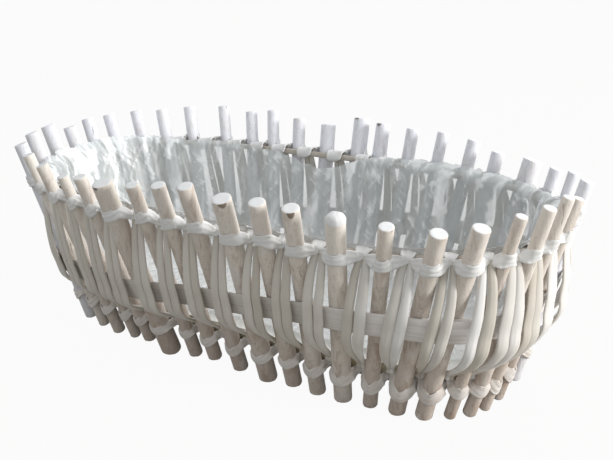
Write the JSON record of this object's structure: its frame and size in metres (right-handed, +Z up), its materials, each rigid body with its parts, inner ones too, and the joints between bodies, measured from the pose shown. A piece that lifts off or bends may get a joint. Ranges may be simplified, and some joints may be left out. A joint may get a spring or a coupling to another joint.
{
  "type": "willow planter basket",
  "caption": "Long oval willow planter basket: upright sticks bound to a rim hoop and a foot hoop, split strands over a middle band, a base board and a clear film liner.",
  "frame": {"origin": "middle of the footprint, on the floor that the sticks' feet stand on", "axes": "+X along the basket's length to the right, -Y to the front row of sticks, +Z up"},
  "size_m": [0.4442, 0.2304, 0.1554],
  "materials": {
    "stick_wood": "whitewashed willow with bark tints",
    "strip_willow": "whitewashed peeled willow strip",
    "hoop_wood": "bare grey-brown willow rod",
    "band_wood": "whitewashed lath with fine grain",
    "strand_willow": "whitewashed split willow",
    "board_wood": "raw olive-brown board edge",
    "clear_film": "clear wrinkled film"
  },
  "bodies": {
    "root": {"stick_01": "stick_wood", "stick_02": "stick_wood", "stick_03": "stick_wood", "stick_04": "stick_wood", "stick_05": "stick_wood", "stick_06": "stick_wood", "stick_07": "stick_wood", "stick_08": "stick_wood", "stick_09": "stick_wood", "stick_10": "stick_wood", "stick_11": "stick_wood", "stick_12": "stick_wood", "stick_13": "stick_wood", "stick_14": "stick_wood", "stick_15": "stick_wood", "stick_16": "stick_wood", "stick_17": "stick_wood", "stick_18": "stick_wood", "stick_19": "stick_wood", "stick_20": "stick_wood", "stick_21": "stick_wood", "stick_22": "stick_wood", "stick_23": "stick_wood", "stick_24": "stick_wood", "stick_25": "stick_wood", "stick_26": "stick_wood", "stick_27": "stick_wood", "stick_28": "stick_wood", "stick_29": "stick_wood", "stick_30": "stick_wood", "stick_31": "stick_wood", "stick_32": "stick_wood", "stick_33": "stick_wood", "stick_34": "stick_wood", "stick_35": "stick_wood", "stick_36": "stick_wood", "stick_37": "stick_wood", "stick_38": "stick_wood", "stick_39": "stick_wood", "stick_40": "stick_wood", "stick_41": "stick_wood", "stick_42": "stick_wood", "stick_43": "stick_wood", "rim_binding": "strip_willow", "foot_binding": "strip_willow", "rim_hoop": "hoop_wood", "foot_hoop": "hoop_wood", "middle_band": "band_wood", "weaver_01": "strand_willow", "weaver_02": "strand_willow", "weaver_03": "strand_willow", "weaver_04": "strand_willow", "weaver_05": "strand_willow", "weaver_06": "strand_willow", "weaver_07": "strand_willow", "weaver_08": "strand_willow", "weaver_09": "strand_willow", "base_board": "board_wood", "liner": "clear_film"}
  },
  "joints": []
}
